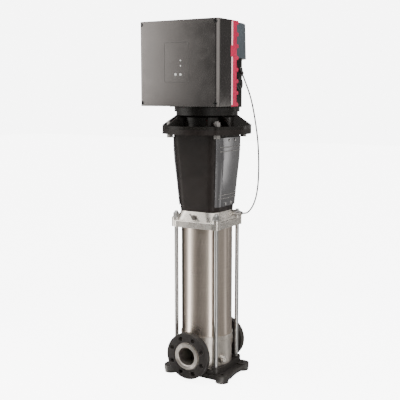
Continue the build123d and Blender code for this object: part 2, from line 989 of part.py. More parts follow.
def drive_end_shield():
    body = turned(
        (stool_mouth_radius + cut, stool_top), (stool_flange_radius, stool_top),
        (stool_flange_radius, motor_flange_top), (bell_radius, motor_flange_top),
        (bell_radius, bell_top - bell_wall), (bell_neck_radius, bell_top),
        (bell_neck_radius, ledge_bottom), (bell_ledge_radius, ledge_bottom),
        (bell_ledge_radius, motor_bottom), (bell_radius - bell_wall, motor_bottom),
        (bell_radius - bell_wall, motor_flange_top), (stool_mouth_radius + cut, motor_flange_top),
    )
    for x, y in motor_bolt_places:
        body += disc(motor_lug_radius, stool_top, motor_flange_top, x, y)
    for x, y in motor_bolt_places:
        for side in (-1, 1):
            body += gusset(math.degrees(math.atan2(y, x)) + side * gusset_angle)
    low = drive_bearing_bottom
    hub = bearing_outer_radius + bearing_hub_wall
    body += disc(bell_radius - bell_wall + cut, low - bearing_web, low)
    body += disc(hub, low - bearing_web, low + bearing_width)
    body -= disc(bearing_outer_radius + thread_fit, low, low + bearing_width + cut)
    body -= disc(bearing_bore_radius + web_hole_gap, low - bearing_web - cut, low + cut)
    for x, y in motor_bolt_places:
        body -= disc(motor_bolt_hole / 2, stool_top - cut, motor_flange_top + cut, x, y)
        body -= disc(washer_radius, motor_flange_top, motor_flange_top + 2 * nut_height, x, y)
    return body


def motor_housing():
    inner = motor_radius - motor_wall
    body = disc(motor_radius, motor_bottom, motor_top)
    body += block(
        -side_block_half, side_block_half, side_block_front, side_block_back, motor_bottom, motor_top,
    )
    half_fin = fin_thickness / 2
    fin = block(motor_radius - cut, fin_radius, -half_fin, half_fin, motor_bottom, motor_top)
    for index in range(fin_count):
        turn = 90 - fin_spread / 2 + fin_spread / (fin_count - 1) * index
        body += Rot(0, 0, turn) * fin
    wall = side_block_wall
    well = block(
        motor_radius, side_block_half - wall, side_block_front - cut, side_block_back - wall,
        motor_bottom + wall, motor_top - wall,
    )
    well -= disc(motor_radius, motor_bottom, motor_top)
    body = body - well - Rot(0, 0, 180) * mirror(well, Plane.XZ)
    body -= disc(inner, motor_bottom - cut, motor_top + cut)
    face = side_block_half
    body -= rod_x(plug_thread / 2, face - wall - cut, face + cut, plug_y, plug_z)
    body -= rod_x(gland_thread / 2, face - wall - cut, face + cut, gland_y, gland_z)
    return body


def blanking_plug():
    face = side_block_half
    body = rod_x(plug_thread / 2 - thread_fit, face - side_block_wall, face, plug_y, plug_z)
    body += rod_x(plug_radius, face, face + plug_thickness, plug_y, plug_z)
    hub_start = face + plug_thickness
    body += rod_x(plug_hub_radius, hub_start, hub_start + plug_hub_length, plug_y, plug_z)
    return body


def cable_gland():
    face = side_block_half
    body = rod_x(gland_thread / 2 - thread_fit, face - side_block_wall, face, gland_y, gland_z)
    body += rod_x(gland_radius, face, face + gland_reach, gland_y, gland_z)
    elbow = Pos(face + gland_reach, gland_y, gland_z)
    body += elbow * Sphere(gland_radius)
    nose = Plane(origin=(face + gland_reach, gland_y, gland_z), z_dir=(gland_slope_x, 0, gland_slope_z))
    body += nose * upright(gland_nose_radius, gland_drop)
    return body


def stator_core():
    return ring(motor_radius - motor_wall, stator_bore, stator_bottom, stator_top)


def end_windings():
    return [
        ring(winding_outer, winding_inner, stator_bottom - winding_reach, stator_bottom),
        ring(winding_outer, winding_inner, stator_top, stator_top + winding_reach),
    ]


def rotor_core():
    return ring(stator_bore - air_gap, rotor_shaft_radius, stator_bottom, stator_top)


def motor_shaft():
    fan_end = motor_top + fan_above_shield + fan_height
    drive_bearing_top = drive_bearing_bottom + bearing_width
    body = disc(motor_shaft_radius, motor_shaft_bottom, drive_bearing_bottom)
    body += disc(bearing_bore_radius, drive_bearing_bottom - bearing_web, drive_bearing_top)
    body += disc(rotor_shaft_radius, drive_bearing_top, fan_bearing_bottom)
    body += disc(bearing_bore_radius, fan_bearing_bottom, fan_bearing_bottom + bearing_width)
    body += disc(fan_shaft_radius, fan_bearing_bottom + bearing_width, fan_end)
    return body


def bearing_outer_rings():
    race = bearing_outer_radius - bearing_race
    return [
        ring(bearing_outer_radius, race, low, low + bearing_width)
        for low in (drive_bearing_bottom, fan_bearing_bottom)
    ]


def bearing_inner_rings():
    race = bearing_bore_radius + bearing_race
    outer_race = bearing_outer_radius - bearing_race
    middle = (race + outer_race) / 2
    ball = (outer_race - race) / 2 - seat_gap
    pieces = []
    for low in (drive_bearing_bottom, fan_bearing_bottom):
        pieces.append(ring(race, bearing_bore_radius, low, low + bearing_width))
        for place in around(bearing_ball_count, Pos(middle, 0, low + bearing_width / 2) * Sphere(ball)):
            pieces.append(place)
    return pieces


# Fan end
def d_shape(low_radius, high_radius, front, low, high):
    far = 2 * low_radius
    full = Pos(0, 0, low) * cone(low_radius, high_radius, high - low)
    return full & block(-far, far, front, far, low - cut, high + cut)


def rear_end_shield():
    top = motor_top + rear_shield_thickness
    rim = cowl_foot_radius - cowl_wall - cowl_fit
    plate = d_shape(rim, rim - slip, side_block_front + sink_fit, motor_top, top)
    plate += disc(motor_radius - cut, motor_top, top)
    hub = bearing_outer_radius + bearing_hub_wall
    plate += disc(hub, fan_bearing_bottom, motor_top + cut)
    plate -= disc(bearing_outer_radius + thread_fit, fan_bearing_bottom - cut, motor_top)
    return plate - disc(bearing_bore_radius + web_hole_gap, motor_top - cut, top + cut)


def fan_cowl():
    front = side_block_front + sink_fit
    body = d_shape(cowl_foot_radius, cowl_radius, front, motor_top, cowl_top_height)
    inner = d_shape(
        cowl_foot_radius - cowl_wall, cowl_radius - cowl_wall, front - cut,
        motor_top - cut, cowl_top_height - cowl_top,
    )
    body = fillet(body.faces().sort_by(Axis.Z)[-1].edges().filter_by(GeomType.CIRCLE), 4)
    body -= inner
    slot = block(
        grille_inner, grille_outer, -grille_slot / 2, grille_slot / 2,
        cowl_top_height - cowl_top - cut, cowl_top_height + cut,
    )
    for index, piece in enumerate(around(grille_count, slot)):
        turn = 360 / grille_count * index
        if math.sin(math.radians(turn)) * grille_outer > front + grille_slot:
            body -= piece
    return body


def cooling_fan():
    low = motor_top + fan_above_shield
    wheel = disc(fan_radius, low, low + fan_plate)
    wheel += disc(fan_hub_radius, low, low + fan_height)
    blade = block(
        fan_hub_radius - cut, fan_radius - cut, -fan_blade / 2, fan_blade / 2,
        low + fan_plate - cut, low + fan_height,
    )
    for piece in around(fan_blade_count, blade):
        wheel += piece
    return wheel - disc(fan_shaft_radius + thread_fit, low - cut, low + fan_height + cut)


# Heat sink
def heat_sink():
    plate_back = sink_front + sink_plate
    body = block(-sink_half, sink_half, sink_front, plate_back, sink_bottom, sink_top)
    for side in (-1, 1):
        edges = sorted((side * sink_half, side * (sink_half - sink_side_wall)))
        body += block(*edges, plate_back - cut, sink_side_back, sink_bottom, sink_top)
    body += block(-sink_half, sink_half, plate_back - cut, sink_side_back, sink_top - sink_roof, sink_top)
    fin_room = sink_height - sink_fin_thickness
    gaps = round(fin_room / sink_fin_pitch)
    for index in range(gaps + 1):
        low = sink_bottom + fin_room / gaps * index
        high = low + sink_fin_thickness
        fin = block(-sink_half, sink_half, plate_back - cut, side_block_front, low, high)
        back_edges = fin.faces().sort_by(Axis.Y)[-1].edges().filter_by(Axis.X)
        body += fillet(back_edges, sink_fin_round)
    return body - disc(sink_pocket, sink_bottom - cut, sink_top - sink_roof)


# Control box
def box_outline(front, back, half, corner):
    outline = Polyline((-half, back), (-half, front), (half, front), (half, back), close=True)
    face = make_face(outline)
    if corner:
        front_corners = face.vertices().sort_by(Axis.Y)[:2]
        face = fillet(front_corners, corner)
    return face


def box_solid(front, back, half, corner, low, high):
    return extrude(Pos(0, 0, low) * box_outline(front, back, half, corner), high - low)


def cover_screw_places():
    x = box_half - cover_screw_inset_x
    heights = (box_bottom + cover_screw_inset_z, box_top - cover_screw_inset_z)
    return [(side * x, z) for side in (-1, 1) for z in heights]


def control_housing():
    body = block(-box_half, box_half, cover_back, sink_front, box_bottom, box_top)
    inner = box_half - box_wall
    body -= block(
        -inner, inner, cover_back - cut, sink_front - box_wall,
        box_bottom + box_wall, box_top - box_wall,
    )
    board_face = sink_front - board_stand
    for x, z in board_post_places():
        body += rod_y(post_radius, board_face, sink_front - box_wall + cut, x, z)
    for x, z in cover_screw_places():
        body += rod_y(cover_screw_well, cover_back, sink_front - box_wall + cut, x, z)
        hole = cover_screw_radius + thread_fit
        body -= rod_y(hole, cover_back - cut, cover_back + cover_screw_length, x, z)
    return body


def board_post_places():
    x = board_half - board_margin
    heights = (box_bottom + 3 * board_margin, box_top - 3 * board_margin)
    return [(side * x, z) for side in (-1, 1) for z in heights]


def circuit_board():
    face = sink_front - board_stand
    low = box_bottom + board_margin
    high = box_top - board_margin
    return block(-board_half, board_half, face - board_thickness, face, low, high)


def panel_block(inset, y_low, y_high):
    centre_x = (panel_left + panel_right) / 2
    centre_z = box_bottom + (panel_low + panel_high) / 2
    width = panel_right - panel_left - 2 * inset
    height = panel_high - panel_low - 2 * inset
    face = Plane(origin=(centre_x, y_low, centre_z), x_dir=(-1, 0, 0), z_dir=(0, 1, 0))
    return extrude(face * RectangleRounded(width, height, panel_corner), y_high - y_low)


def cover_block():
    return box_solid(box_front, cover_back, box_half, box_corner, box_bottom, box_top)


def control_cover():
    body = cover_block()
    inner = box_solid(
        box_front + box_wall, cover_back + cut, box_half - box_wall, box_corner - box_wall,
        box_bottom + box_wall, box_top - box_wall,
    )
    body -= inner
    for x, z in cover_screw_places():
        well = rod_y(cover_screw_well + cover_well_wall, box_front + box_wall, cover_back, x, z)
        body += well & cover_block()
        body -= rod_y(cover_screw_well, box_front - cut, box_front + cover_screw_sunk, x, z)
        body -= rod_y(cover_screw_radius + slip, box_front, cover_back + cut, x, z)
    body -= panel_block(0, box_front - cut, box_front + panel_recess)
    button_z = box_bottom + button_height
    for x in (button_up_x, button_down_x):
        body -= rod_y(button_radius + turn_gap, box_front - cut, box_front + box_wall + cut, x, button_z)
    return body


def cover_screws():
    pieces = []
    seat = box_front + cover_screw_sunk
    for x, z in cover_screw_places():
        screw = rod_y(cover_screw_radius, seat, cover_back + cover_screw_length / 2, x, z)
        screw += rod_y(cover_screw_head_radius, seat - cover_screw_head, seat, x, z)
        pieces.append(screw)
    return pieces


def panel_overlay():
    film_front = box_front + panel_recess - panel_film
    film_back = box_front + panel_recess
    film = panel_block(slip, film_front, film_back)
    button_z = box_bottom + button_height
    for x in (button_up_x, button_down_x):
        film -= rod_y(button_radius + turn_gap, film_front - cut, film_back + cut, x, button_z)
    for height in lamp_heights:
        film += rod_y(lamp_radius, film_front - lamp_proud, film_back, lamp_x, box_bottom + height)
    return film


def button(x):
    front = box_front + panel_recess - panel_film - button_proud
    collar_start = box_front + box_wall + turn_gap
    z = box_bottom + button_height
    return rod_y(button_radius, front, collar_start + cut, x, z) + rod_y(
        button_collar_radius, collar_start, collar_start + button_collar, x, z,
    )


# Every piece under its node's name
def model():
    pieces = {
        "base_plate": base_plate(),
        "pump_casing": pump_casing(),
        "suction_flange": loose_flange(-1),
        "discharge_flange": loose_flange(1),
        "port_lock_rings": port_lock_rings(),
        "drain_plug": drain_plug(),
        "outer_sleeve": outer_sleeve(),
        "sleeve_seals": sleeve_seals(),
        "pump_head": pump_head(),
        "stay_bolts": stay_bolts(),
        "stay_bolt_nuts": stay_bolt_nuts(),
        "pump_shaft": pump_shaft(),
        "shaft_seal_rotary": shaft_seal_rotary(),
        "shaft_seal_seat": shaft_seal_seat(),
        "vent_body": vent_body(),
        "vent_spindle": vent_spindle(),
        "vent_lever": vent_lever(),
        "sensor_body": sensor_body(),
        "sensor_cable": sensor_cable(),
        "motor_stool": motor_stool(),
        "stool_screws": stool_screws(),
        "coupling_halves": coupling_halves(),
        "coupling_screws": coupling_screws(),
        "guard_right": guard(1),
        "guard_left": guard(-1),
        "guard_screws": guard_screws(),
        "motor_flange_bolts": motor_flange_bolts(),
        "drive_end_shield": drive_end_shield(),
        "motor_housing": motor_housing(),
        "stator_core": stator_core(),
        "end_windings": end_windings(),
        "rear_end_shield": rear_end_shield(),
        "fan_cowl": fan_cowl(),
        "motor_shaft": motor_shaft(),
        "rotor_core": rotor_core(),
        "cooling_fan": cooling_fan(),
        "bearing_outer_rings": bearing_outer_rings(),
        "bearing_inner_rings": bearing_inner_rings(),
        "heat_sink": heat_sink(),
        "control_housing": control_housing(),
        "control_cover": control_cover(),
        "cover_screws": cover_screws(),
        "circuit_board": circuit_board(),
        "panel_overlay": panel_overlay(),
        "button_up": button(button_up_x),
        "button_down": button(button_down_x),
        "blanking_plug": blanking_plug(),
        "cable_gland": cable_gland(),
    }
    for index in range(stage_count):
        pieces[f"chamber_{index + 1}"] = chamber(index)
        pieces[f"impeller_{index + 1}"] = impeller(index)
    return pieces


def write_parts():
    os.makedirs("parts", exist_ok=True)
    for name, shape in model().items():
        group = shape if isinstance(shape, list) else [shape]
        solids = [solid for piece in group for solid in piece.solids()]
        export_step(solids[0] if len(solids) == 1 else Compound(solids), f"parts/{name}.step")


write_parts()
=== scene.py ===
import json
import math
import bpy
import bmesh
from mathutils import Euler, Matrix, Vector


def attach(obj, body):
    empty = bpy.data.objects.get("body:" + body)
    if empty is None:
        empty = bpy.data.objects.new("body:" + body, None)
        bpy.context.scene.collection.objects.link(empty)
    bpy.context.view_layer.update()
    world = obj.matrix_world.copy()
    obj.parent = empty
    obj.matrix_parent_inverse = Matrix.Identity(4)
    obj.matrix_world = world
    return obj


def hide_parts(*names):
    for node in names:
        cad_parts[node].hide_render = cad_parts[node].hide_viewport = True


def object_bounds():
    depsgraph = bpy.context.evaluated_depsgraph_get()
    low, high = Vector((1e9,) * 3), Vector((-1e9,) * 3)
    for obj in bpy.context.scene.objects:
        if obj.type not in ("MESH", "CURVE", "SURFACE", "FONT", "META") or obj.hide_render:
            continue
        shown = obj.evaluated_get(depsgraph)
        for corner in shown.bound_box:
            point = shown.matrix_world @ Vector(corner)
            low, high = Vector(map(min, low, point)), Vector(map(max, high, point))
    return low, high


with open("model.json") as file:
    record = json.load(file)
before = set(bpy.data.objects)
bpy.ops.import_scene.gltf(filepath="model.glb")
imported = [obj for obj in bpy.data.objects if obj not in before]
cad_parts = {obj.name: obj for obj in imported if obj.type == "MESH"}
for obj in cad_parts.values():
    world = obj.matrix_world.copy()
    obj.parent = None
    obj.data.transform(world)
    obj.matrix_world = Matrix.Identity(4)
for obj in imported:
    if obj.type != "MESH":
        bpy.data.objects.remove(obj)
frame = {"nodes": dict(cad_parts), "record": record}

# Vertical multistage pump: looks. Metres, Z up, floor at 0, pump axis on Z, front port towards -Y.
cad_low, cad_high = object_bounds()
scene = bpy.context.scene


def placed(name, data):
    """A new object in the scene."""
    obj = bpy.data.objects.new(name, data)
    scene.collection.objects.link(obj)
    return obj


# Camera, solved from the front flange, the base plate and the sleeve; angles in degrees
camera_place = Vector((1.52145, -2.57947, 1.12959))
camera_heading = 31.071
camera_pitch = 7.969
focal_pixels = 753.25
photo_width = 400
sensor_width = 36
nearest_seen = 0.05
farthest_seen = 60


def add_camera():
    data = bpy.data.cameras.new("camera")
    data.sensor_width = sensor_width
    data.lens = focal_pixels / photo_width * sensor_width
    data.clip_start = nearest_seen
    data.clip_end = farthest_seen
    camera = placed("camera", data)
    camera.location = camera_place
    camera.rotation_euler = Euler(
        (math.radians(90 - camera_pitch), 0, math.radians(camera_heading)))
    scene.camera = camera


add_camera()


# Node trees
def set_ramp(ramp, stops):
    """Gives a colour ramp its stops, each a position and a colour."""
    elements = ramp.color_ramp.elements
    while len(elements) < len(stops):
        elements.new(0.5)
    for element, (position, colour) in zip(elements, stops):
        element.position = position
        element.color = (*colour, 1)


class Nodes:
    """Adds and joins the nodes of one tree."""

    def __init__(self, tree):
        self.tree = tree

    def add(self, kind, inputs=None, **settings):
        """A node; inputs gives values to its sockets, settings to the node itself."""
        node = self.tree.nodes.new(kind)
        for key, value in settings.items():
            setattr(node, key, value)
        for socket, value in (inputs or {}).items():
            node.inputs[socket].default_value = value
        return node

    def join(self, output, socket):
        self.tree.links.new(output, socket)

    def mixed(self, switch, off, on):
        """One of two shaders, after a switch from 0 to 1."""
        mix = self.add("ShaderNodeMixShader")
        for index, output in enumerate((switch, off, on)):
            self.join(output, mix.inputs[index])
        return mix.outputs[0]

    def show(self, output, end="Material Output"):
        self.join(output, self.tree.nodes[end].inputs["Surface"])


# Materials
materials = {}
noise_low = 0.3  # most of a noise lies between these two
noise_high = 0.7
quarter_turn = 0.25


class Maker(Nodes):
    """Builds one material step by step and enters it in materials."""

    def __init__(self, name, colour, roughness, metallic=0.0):
        material = bpy.data.materials.new(name)
        material.use_nodes = True
        super().__init__(material.node_tree)
        self.shader = self.tree.nodes["Principled BSDF"]
        self.set("Base Color", (*colour, 1))
        self.set("Roughness", roughness)
        self.set("Metallic", metallic)
        self.place = self.add("ShaderNodeTexCoord").outputs["Object"]
        materials[name] = material

    def set(self, name, value):
        self.shader.inputs[name].default_value = value

    def colour(self, output):
        self.join(output, self.shader.inputs["Base Color"])

    def roughness(self, output):
        self.join(output, self.shader.inputs["Roughness"])

    def stretched(self, scale):
        mapping = self.add("ShaderNodeMapping", {"Scale": scale})
        self.join(self.place, mapping.inputs["Vector"])
        return mapping.outputs["Vector"]

    def noise(self, scale, detail=3.0, roughness=0.55, vector=None):
        node = self.add("ShaderNodeTexNoise",
                        {"Scale": scale, "Detail": detail, "Roughness": roughness})
        self.join(vector or self.place, node.inputs["Vector"])
        return node.outputs["Fac"]

    def cells(self, scale):
        node = self.add("ShaderNodeTexVoronoi", {"Scale": scale})
        self.join(self.place, node.inputs["Vector"])
        return node.outputs["Distance"]

    def blend(self, value, colour_a, colour_b, from_low=0.35, from_high=0.65):
        ramp = self.add("ShaderNodeValToRGB")
        set_ramp(ramp, [(from_low, colour_a), (from_high, colour_b)])
        self.join(value, ramp.inputs["Fac"])
        return ramp.outputs["Color"]

    def between(self, value, low, high):
        """A noise brought to the span from low to high."""
        node = self.add("ShaderNodeMapRange", {
            "From Min": noise_low, "From Max": noise_high, "To Min": low, "To Max": high})
        self.join(value, node.inputs["Value"])
        return node.outputs["Result"]

    def turned(self, amount, axis):
        """Fine lines around an axis: reflections spread along it and stay narrow across."""
        around = self.add("ShaderNodeTangent", direction_type="RADIAL", axis=axis)
        self.join(around.outputs[0], self.shader.inputs["Tangent"])
        self.set("Anisotropic", amount)
        self.set("Anisotropic Rotation", quarter_turn)

    def bump(self, layers):
        """Layers of height, strength and distance, one over the other."""
        normal = None
        for height, strength, distance in layers:
            node = self.add("ShaderNodeBump", {"Strength": strength, "Distance": distance})
            self.join(height, node.inputs["Height"])
            if normal is not None:
                self.join(normal, node.inputs["Normal"])
            normal = node.outputs["Normal"]
        self.join(normal, self.shader.inputs["Normal"])


def tint(colour, factor):
    return tuple(min(1.0, channel * factor) for channel in colour)


def cast_paint(name, colour, roughness, grain=0.25, variation=0.25, shine=0.5):
    """Enamel over a cast skin: fine orange peel, cloudy tone, uneven gloss."""
    maker = Maker(name, colour, roughness)
    maker.set("Specular IOR Level", shine)
    broad = maker.noise(9, detail=4)
    fine = maker.noise(900, detail=2)
    peel = maker.noise(260)
    maker.colour(maker.blend(broad, tint(colour, 1 - variation), tint(colour, 1 + variation)))
    maker.roughness(maker.between(maker.noise(38, detail=4), roughness - 0.08, roughness + 0.1))
    maker.bump([(peel, grain, 0.0006), (fine, grain * 0.6, 0.0002)])


def cast_metal(name, colour, roughness):
    """Bead-blasted cast stainless: pitted skin, cloudy tone."""
    maker = Maker(name, colour, roughness, metallic=0.92)
    cloudy = maker.noise(14, detail=5, roughness=0.6)
    maker.colour(maker.blend(cloudy, tint(colour, 0.84), tint(colour, 1.12)))
    maker.roughness(maker.between(maker.noise(60, detail=4), roughness - 0.07, roughness + 0.12))
    maker.bump([(maker.noise(300), 0.1, 0.0005), (maker.cells(700), 0.04, 0.0003)])


upright_brushing = (900, 900, 6)
turned_brushing = (14, 14, 1400)
face_brushing = (1300, 60, 1300)
streak = 0.14


def brushed_metal(name, colour, roughness, along, spread=0, axis="Z"):
    """Drawn or turned metal: thin streaks, long where the texture's stretch is small."""
    maker = Maker(name, colour, roughness, metallic=1.0)
    lines = maker.noise(1, detail=5, roughness=0.7, vector=maker.stretched(along))
    clouds = maker.noise(6, detail=4)
    maker.colour(maker.blend(
        lines, tint(colour, 1 - streak), tint(colour, 1 + streak), noise_low, noise_high))
    maker.roughness(maker.between(clouds, roughness - 0.04, roughness + 0.07))
    if spread:
        maker.turned(spread, axis)
    maker.bump([(lines, 0.05, 0.0002)])


def moulded_plastic(name, colour, roughness, grain=0.2, variation=0.12, metallic=0.0):
    """A moulded or powder-coated skin with a fine grain; metallic for metal flake."""
    maker = Maker(name, colour, roughness, metallic)
    grains = maker.cells(1500)
    broad = maker.noise(5)
    maker.colour(maker.blend(broad, tint(colour, 1 - variation), tint(colour, 1 + variation)))
    maker.roughness(maker.between(maker.noise(25), roughness - 0.05, roughness + 0.06))
    maker.bump([(grains, grain, 0.00012), (maker.noise(700, detail=2), grain * 0.5, 0.00015)])


fine_grain = 0.008
cast_paint("cast_black", (0.022, 0.0195, 0.018), 0.4, shine=0.35)
cast_paint("stool_black", (0.015, 0.0115, 0.0105), 0.42, grain=0.2, shine=0.25)
cast_metal("cast_stainless", (0.72, 0.685, 0.64), 0.24)
cast_metal("casing_stainless", (0.6, 0.56, 0.51), 0.34)
brushed_metal("sleeve_steel", (0.60, 0.525, 0.46), 0.3, turned_brushing, spread=0.92)
brushed_metal("ring_steel", (0.58, 0.55, 0.51), 0.34, face_brushing, spread=0.9, axis="Y")
brushed_metal("fastener_steel", (0.50, 0.50, 0.49), 0.3, upright_brushing)
brushed_metal("inner_steel", (0.62, 0.61, 0.6), 0.35, turned_brushing)
brushed_metal("bolt_steel", (0.37, 0.36, 0.35), 0.3, upright_brushing)
brushed_metal("vent_steel", (0.16, 0.15, 0.14), 0.4, turned_brushing)
brushed_metal("guard_steel", (0.3, 0.3, 0.315), 0.18, upright_brushing)
cast_paint("motor_black", (0.01, 0.009, 0.008), 0.25, grain=0.2, shine=0.3)
cast_paint("cowl_grey", (0.052, 0.064, 0.074), 0.45, grain=0.12, variation=0.1)
cast_paint("sink_red", (0.42, 0.012, 0.055), 0.4, grain=0.2, variation=0.14)
# Pale pink for the heat sink's rails: a painted highlight, not a colour of the sink's own
cast_paint("sink_painted_highlight", (1.0, 0.62, 0.65), 0.3, grain=0.1, variation=0.05)
moulded_plastic("box_grey", (0.15, 0.142, 0.139), 0.19, fine_grain, 0.05, metallic=0.95)
moulded_plastic("panel_film", (0.155, 0.147, 0.144), 0.19, fine_grain, 0.04, metallic=0.95)
moulded_plastic("entry_black", (0.014, 0.014, 0.014), 0.3)
moulded_plastic("cable_black", (0.02, 0.02, 0.02), 0.5, grain=0.1)
moulded_plastic("mark_pale", (0.62, 0.63, 0.62), 0.4, grain=0.05)
moulded_plastic("rubber", (0.02, 0.02, 0.02), 0.7)
moulded_plastic("carbon", (0.03, 0.03, 0.033), 0.35)
brushed_metal("copper", (0.6, 0.28, 0.14), 0.35, turned_brushing)
moulded_plastic("board_green", (0.02, 0.13, 0.05), 0.35)

# Which CAD nodes each material goes on; the stages are named nowhere and get inner_steel
painted = {
    "cast_black": ("base_plate", "suction_flange", "discharge_flange", "coupling_halves"),
    "stool_black": ("motor_stool",),
    "cast_stainless": ("drain_plug", "pump_head"),
    "casing_stainless": ("pump_casing",),
    "sleeve_steel": ("outer_sleeve",),
    "ring_steel": ("port_lock_rings",),
    "fastener_steel": (
        "stay_bolts", "stay_bolt_nuts", "stool_screws", "coupling_screws", "guard_screws"),
    "inner_steel": (
        "pump_shaft", "sensor_body", "stator_core", "motor_shaft", "rotor_core",
        "bearing_outer_rings", "bearing_inner_rings"),
    "bolt_steel": ("motor_flange_bolts",),
    "vent_steel": ("vent_body", "vent_spindle", "vent_lever"),
    "guard_steel": ("guard_right", "guard_left"),
    "motor_black": ("drive_end_shield", "motor_housing", "rear_end_shield"),
    "cowl_grey": ("fan_cowl",),
    "sink_red": ("heat_sink",),
    "box_grey": ("control_housing", "control_cover"),
    "panel_film": ("panel_overlay",),
    "entry_black": ("cooling_fan", "cover_screws", "blanking_plug", "cable_gland"),
    "cable_black": ("sensor_cable",),
    "mark_pale": ("button_up", "button_down"),
    "rubber": ("sleeve_seals",),
    "carbon": ("shaft_seal_rotary", "shaft_seal_seat"),
    "copper": ("end_windings",),
    "board_green": ("circuit_board",),
}
finish = {node: name for name, nodes in painted.items() for node in nodes}


def body_of_node(node):
    for body, members in frame["record"]["behaviour"]["bodies"].items():
        if node in members:
            return body


def paint(obj, name):
    obj.data.materials.clear()
    obj.data.materials.append(materials[name])


def paint_nodes():
    for node, obj in frame["nodes"].items():
        paint(obj, finish.get(node, "inner_steel"))


paint_nodes()


# Round bars along a route
def add_bar(name, route, radius, rounding, kind="POLY", steps=12, caps=True, closed=False):
    """A round bar; rounding and steps set how finely it is made around and along."""
    curve = bpy.data.curves.new(name, "CURVE")
    curve.dimensions = "3D"
    curve.bevel_depth = radius
    curve.bevel_resolution = rounding
    curve.resolution_u = steps
    curve.use_fill_caps = caps
    spline = curve.splines.new(kind)
    spline.use_cyclic_u = closed
    spline.points.add(len(route) - 1)
    for point, place in zip(spline.points, route):
        point.co = (*place, 1)
    return placed(name, curve)


# Cable: the same route as in the CAD
cable_route = (
    (0.1602, -0.008, 1.20676), (0.17865, -0.008, 1.16572), (0.1945, -0.001, 1.116),
    (0.205, 0.005, 1.06), (0.213, 0.011, 1.0), (0.218, 0.016, 0.945), (0.219, 0.0205, 0.89),
    (0.217, 0.026, 0.835), (0.212, 0.032, 0.785), (0.2035, 0.0365, 0.74), (0.1915, 0.04, 0.707),
    (0.178, 0.042, 0.684), (0.1635, 0.044, 0.6685), (0.1495, 0.045, 0.662), (0.135, 0.045, 0.662),
)
cable_diameter = 0.006
cable_rounding = 5


def add_cable():
    lead = add_bar(
        "sensor_lead", cable_route, cable_diameter / 2, cable_rounding, kind="NURBS", steps=16,
    )
    spline = lead.data.splines[0]
    spline.order_u = 3
    spline.use_endpoint_u = True
    paint(lead, "cable_black")
    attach(lead, "frame")
    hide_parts("sensor_cable")


add_cable()


# Pieces made here
weld_distance = 5e-6
flat_angle = math.radians(1)
edge_angle = math.radians(30)


def add_piece(name, mesh, material, node, smooth=35, body=None):
    """Shows a mesh as a piece that stands for a CAD node, or rides on a body beside it.

    Edges that turn by less than smooth degrees are shaded round.
    """
    mesh.shade_smooth()
    mesh.set_sharp_from_angle(angle=math.radians(smooth))
    piece = placed(name, mesh)
    paint(piece, material)
    level = piece.modifiers.new("even_normals", "WEIGHTED_NORMAL")
    level.keep_sharp = True
    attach(piece, body or body_of_node(node))
    if body is None:
        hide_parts(node)


def node_work(node):
    """A CAD node's mesh to work on."""
    work = bmesh.new()
    work.from_mesh(frame["nodes"][node].data)
    return work


def mesh_from(work, name):
    mesh = bpy.data.meshes.new(name)
    work.normal_update()
    work.to_mesh(mesh)
    work.free()
    return mesh


def extent(places):
    """The low and high corner of some places."""
    low = Vector([min(place[axis] for place in places) for axis in range(3)])
    high = Vector([max(place[axis] for place in places) for axis in range(3)])
    return low, high


def reach(node):
    """The low and high corner of a CAD node."""
    return extent([vertex.co for vertex in frame["nodes"][node].data.vertices])


def middle_of(low, high):
    """The middle in X and Z, as seen from the front."""
    return (low.x + high.x) / 2, (low.z + high.z) / 2


def loose_parts(node):
    """The low and high corner of each separate solid of a CAD node."""
    work = node_work(node)
    bmesh.ops.remove_doubles(work, verts=work.verts, dist=weld_distance)
    waiting = set(work.verts)
    parts = []
    while waiting:
        found = [waiting.pop()]
        for vertex in found:
            for edge in vertex.link_edges:
                other = edge.other_vert(vertex)
                if other in waiting:
                    waiting.remove(other)
                    found.append(other)
        parts.append(extent([vertex.co for vertex in found]))
    work.free()
    return parts


def round_edges(work, edges, width, slide=False):
    bmesh.ops.bevel(
        work, geom=edges, offset=width, offset_type="OFFSET", segments=2, profile=0.5,
        affect="EDGES", clamp_overlap=True, loop_slide=slide,
    )


def eased_mesh(node, width):
    """A copy of a CAD node's mesh with its sharp edges rounded over."""
    work = node_work(node)
    bmesh.ops.remove_doubles(work, verts=work.verts, dist=weld_distance)
    bmesh.ops.dissolve_limit(
        work, angle_limit=flat_angle, verts=work.verts, edges=work.edges, delimit=set(),
    )
    sharp = [
        edge for edge in work.edges
        if len(edge.link_faces) == 2 and edge.calc_face_angle() >= edge_angle
    ]
    round_edges(work, sharp, width, slide=True)
    bmesh.ops.triangulate(work, faces=[face for face in work.faces if len(face.verts) > 4])
    return mesh_from(work, node + "_eased")


def turned_onto(work, profile, steps, place, direction=(0, 0, 1)):
    """Adds a lathe form of some steps around; profile pairs are radius and height."""
    turn = Vector((0, 0, 1)).rotation_difference(Vector(direction)).to_matrix().to_4x4()
    stand = Matrix.Translation(place) @ turn
    angles = [math.tau * index / steps for index in range(steps)]
    rows = []
    for radius, height in profile:
        if radius == 0:
            rows.append([work.verts.new(stand @ Vector((0, 0, height)))])
            continue
        ring = [(radius * math.cos(angle), radius * math.sin(angle), height) for angle in angles]
        rows.append([work.verts.new(stand @ Vector(point)) for point in ring])
    for lower, upper in zip(rows, rows[1:]):
        for index in range(steps):
            after = (index + 1) % steps
            corners = [lower[index % len(lower)], lower[after % len(lower)]]
            corners += [upper[after % len(upper)], upper[index % len(upper)]]
            corners = list(dict.fromkeys(corners))
            if len(corners) > 2:
                work.faces.new(corners)


def box_onto(work, low, high):
    middle = (Vector(low) + Vector(high)) / 2
    size = Vector(high) - Vector(low)
    stand = Matrix.Translation(middle) @ Matrix.Diagonal((*size, 1))
    bmesh.ops.create_cube(work, size=1, matrix=stand)


